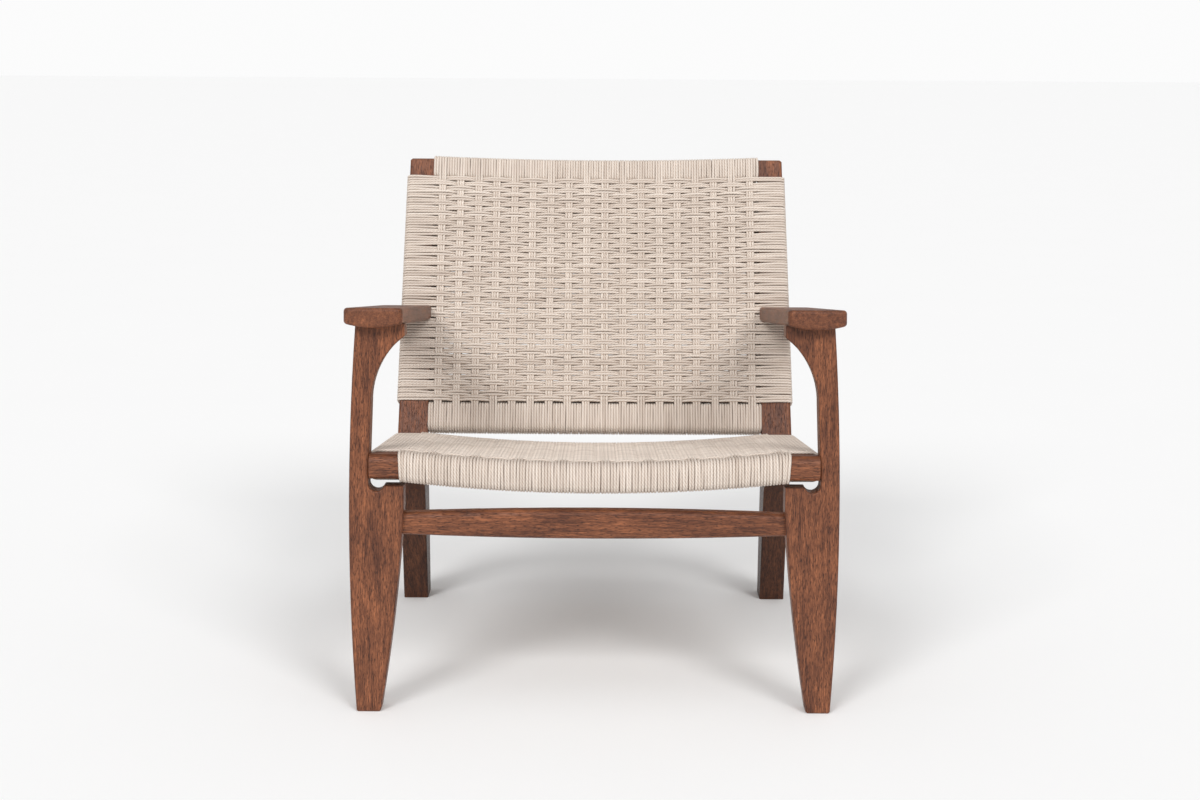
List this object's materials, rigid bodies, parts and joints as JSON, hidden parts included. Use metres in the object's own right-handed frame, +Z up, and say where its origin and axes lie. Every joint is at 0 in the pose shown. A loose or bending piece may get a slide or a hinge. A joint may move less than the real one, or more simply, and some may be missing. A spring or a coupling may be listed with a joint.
{
  "type": "wooden armchair",
  "caption": "Low lounge armchair: hardwood plank legs and armrests, a sloping seat frame and a reclined back frame, both sleeved in woven paper cord.",
  "frame": {"origin": "on the floor, under the middle of the chair's bounding box", "axes": "+Z up, the chair faces -Y, +X is the right-hand side seen from the front; X = 0 is the plane of symmetry; node names ending in left are on the -X side"},
  "size_m": [0.69, 0.67, 0.74],
  "materials": {
    "frame_wood": "satin oiled, open grain, dark reddish brown",
    "dowel_wood": "bare beech",
    "tack_steel": "blued steel",
    "paper_cord": "twisted paper, matte, beige"
  },
  "bodies": {
    "root": {"front_leg_left": "frame_wood", "front_leg_right": "frame_wood", "rear_leg_left": "frame_wood", "rear_leg_right": "frame_wood", "armrest_left": "frame_wood", "armrest_right": "frame_wood", "front_stretcher": "frame_wood", "rear_stretcher": "frame_wood", "seat_front_rail": "frame_wood", "seat_rear_rail": "frame_wood", "seat_side_rail_left": "frame_wood", "seat_side_rail_right": "frame_wood", "back_post_left": "frame_wood", "back_post_right": "frame_wood", "back_top_rail": "frame_wood", "back_bottom_rail": "frame_wood", "seat_frame_dowels": "dowel_wood", "back_frame_dowels": "dowel_wood", "arm_front_dowels": "dowel_wood", "arm_rear_dowels": "dowel_wood", "seat_to_front_leg_dowels": "dowel_wood", "seat_to_rear_leg_dowels": "dowel_wood", "back_to_rear_leg_dowels": "dowel_wood", "cord_tacks": "tack_steel", "seat_weave": "paper_cord", "back_weave": "paper_cord"}
  },
  "joints": []
}
